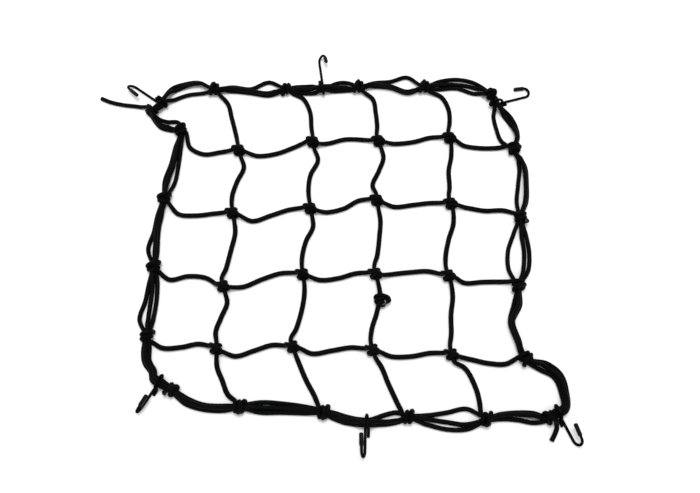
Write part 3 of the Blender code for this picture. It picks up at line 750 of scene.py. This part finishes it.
steel = plated_steel("hook_plated_steel")
for hook in HOOKS:
    place = hook_place(hook)
    drawing = bpy.data.curves.new(hook.name, "CURVE")
    drawing.dimensions = "3D"
    drawing.bevel_depth = WIRE_D / 2 * MM
    drawing.bevel_resolution = WIRE_SIDES
    drawing.use_fill_caps = True
    line = drawing.splines.new("POLY")
    points = hook_points(hook)
    line.points.add(len(points) - 1)
    for handle, point in zip(line.points, points):
        handle.co = (*(place @ point * MM), 1.0)
    wire = bpy.data.objects.new(hook.name + "_bent_wire", drawing)
    bpy.context.scene.collection.objects.link(wire)
    bpy.ops.object.select_all(action="DESELECT")
    wire.select_set(True)
    bpy.context.view_layer.objects.active = wire
    bpy.ops.object.convert(target="MESH")
    bpy.ops.object.mode_set(mode="EDIT")
    bpy.ops.mesh.select_all(action="SELECT")
    bpy.ops.mesh.remove_doubles(threshold=0.000001)
    bpy.ops.mesh.normals_make_consistent(inside=False)
    bpy.ops.object.mode_set(mode="OBJECT")
    wire.data.materials.append(steel)
    bpy.ops.object.shade_smooth_by_angle(angle=math.radians(40.0))
    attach(wire, "root")
    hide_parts(hook.name + "_wire")


# ---- Dipped tips ----
# The short leg of each hook is dipped in black vinyl, so that it scratches nothing: a thick skin
# with a round nose, and a thin lip where it starts on the wire.

CAP_D = 3.3
CAP_LENGTH = 9.0
CAP_SIDES = 24
CAP_LIP_D = 2.6
CAP_NOSE = 1.25                       # vinyl beyond the end of the wire
CAP_ROUNDING = 1.3
CAP_ROUNDING_STEPS = 5
CAP_LIP_LENGTH = 0.5
CAP_LIP_DEPTH = 0.2


def dipped_vinyl(name):
    material = bpy.data.materials.new(name)
    material.use_nodes = True
    nodes, links = material.node_tree.nodes, material.node_tree.links
    shader = nodes["Principled BSDF"]
    shader.inputs["Base Color"].default_value = (0.0025, 0.0025, 0.003, 1.0)
    shader.inputs["Specular IOR Level"].default_value = 0.1
    where = nodes.new("ShaderNodeTexCoord")
    ripple = nodes.new("ShaderNodeTexNoise")
    ripple.inputs["Scale"].default_value = 420.0
    rough = nodes.new("ShaderNodeMapRange")
    rough.inputs["To Min"].default_value = 0.3
    rough.inputs["To Max"].default_value = 0.5
    bump = nodes.new("ShaderNodeBump")
    bump.inputs["Strength"].default_value = 0.25
    bump.inputs["Distance"].default_value = 0.00015
    links.new(where.outputs["Object"], ripple.inputs["Vector"])
    links.new(ripple.outputs["Fac"], rough.inputs["Value"])
    links.new(ripple.outputs["Fac"], bump.inputs["Height"])
    links.new(rough.outputs["Result"], shader.inputs["Roughness"])
    links.new(bump.outputs["Normal"], shader.inputs["Normal"])
    return material


vinyl = dipped_vinyl("hook_dipped_vinyl")
for hook in HOOKS:
    place = hook_place(hook)
    tip, leg_end = [place @ point for point in hook_points(hook)[:2]]
    length = min(CAP_LENGTH, (tip - leg_end).length + CAP_NOSE)
    bpy.ops.mesh.primitive_cylinder_add(
        vertices=CAP_SIDES, radius=CAP_D / 2 * MM, depth=length * MM, end_fill_type="NGON",
    )
    cap = bpy.context.object
    cap.name = hook.name + "_dipped_tip"
    bpy.ops.object.mode_set(mode="EDIT")
    bpy.ops.mesh.select_mode(type="FACE")
    bpy.ops.mesh.select_all(action="DESELECT")
    bpy.ops.object.mode_set(mode="OBJECT")
    for face in cap.data.polygons:
        face.select = face.normal.z > 0.9
    bpy.ops.object.mode_set(mode="EDIT")
    bpy.ops.mesh.bevel(
        offset=CAP_ROUNDING * MM, segments=CAP_ROUNDING_STEPS, profile=0.5, affect="EDGES",
    )
    bpy.ops.mesh.select_all(action="DESELECT")
    bpy.ops.object.mode_set(mode="OBJECT")
    for face in cap.data.polygons:
        face.select = face.normal.z < -0.9
    bpy.ops.object.mode_set(mode="EDIT")
    bpy.ops.mesh.extrude_region_move(
        TRANSFORM_OT_translate={"value": (0.0, 0.0, -CAP_LIP_LENGTH * MM)},
    )
    bpy.ops.transform.resize(value=(CAP_LIP_D / CAP_D,) * 2 + (1.0,))
    bpy.ops.mesh.inset(thickness=(CAP_LIP_D - WIRE_D) / 2 * MM, depth=-CAP_LIP_DEPTH * MM)
    bpy.ops.object.mode_set(mode="OBJECT")
    outwards = (tip - leg_end).normalized()
    middle = tip + outwards * (CAP_NOSE - length / 2)
    aimed = outwards.to_track_quat("Z", "Y").to_matrix().to_4x4()
    cap.matrix_world = Matrix.Translation(middle * MM) @ aimed
    bpy.ops.object.transform_apply(location=True, rotation=True, scale=True)
    cap.data.materials.append(vinyl)
    bpy.ops.object.shade_smooth_by_angle(angle=math.radians(40.0))
    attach(cap, "root")
    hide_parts(hook.name + "_cap")


# ---- Studio ----
# A plain white floor under one large overhead light, with a weak light from all round, and the
# camera high over the near side.

bpy.ops.mesh.primitive_plane_add(size=6.0, location=(0.0, 0.0, 0.0))
floor = bpy.context.object
floor.name = "floor"
floor_paint = bpy.data.materials.new("floor_white")
floor_paint.use_nodes = True
floor_shader = floor_paint.node_tree.nodes["Principled BSDF"]
floor_shader.inputs["Base Color"].default_value = (0.93, 0.93, 0.93, 1.0)
floor_shader.inputs["Roughness"].default_value = 1.0
floor_shader.inputs["Specular IOR Level"].default_value = 0.0
floor.data.materials.append(floor_paint)

world = bpy.data.worlds.new("studio")
world.use_nodes = True
world.node_tree.nodes["Background"].inputs["Color"].default_value = (1.0, 1.0, 1.0, 1.0)
world.node_tree.nodes["Background"].inputs["Strength"].default_value = 0.8
bpy.context.scene.world = world
bpy.context.scene.view_settings.view_transform = "Standard"

bpy.ops.object.light_add(type="AREA", location=(0.0, 0.15, 1.3))
softbox = bpy.context.object
softbox.name = "softbox"
softbox.data.shape = "SQUARE"
softbox.data.size = 0.5
softbox.data.energy = 10.0

VIEW_HEIGHT = math.radians(69.75)     # how far the camera is above the floor's level
VIEW_DISTANCE = 571.0
aim = Vector((*NET_SHIFT, 0.0)) * MM
away = Vector((0.0, -math.cos(VIEW_HEIGHT), math.sin(VIEW_HEIGHT)))
bpy.ops.object.camera_add(
    location=aim + away * VIEW_DISTANCE * MM, rotation=(math.pi / 2 - VIEW_HEIGHT, 0.0, 0.0),
)
camera = bpy.context.object
camera.data.sensor_width = 36.0
camera.data.lens = 36.0
camera.data.clip_start = 0.01
bpy.context.scene.camera = camera
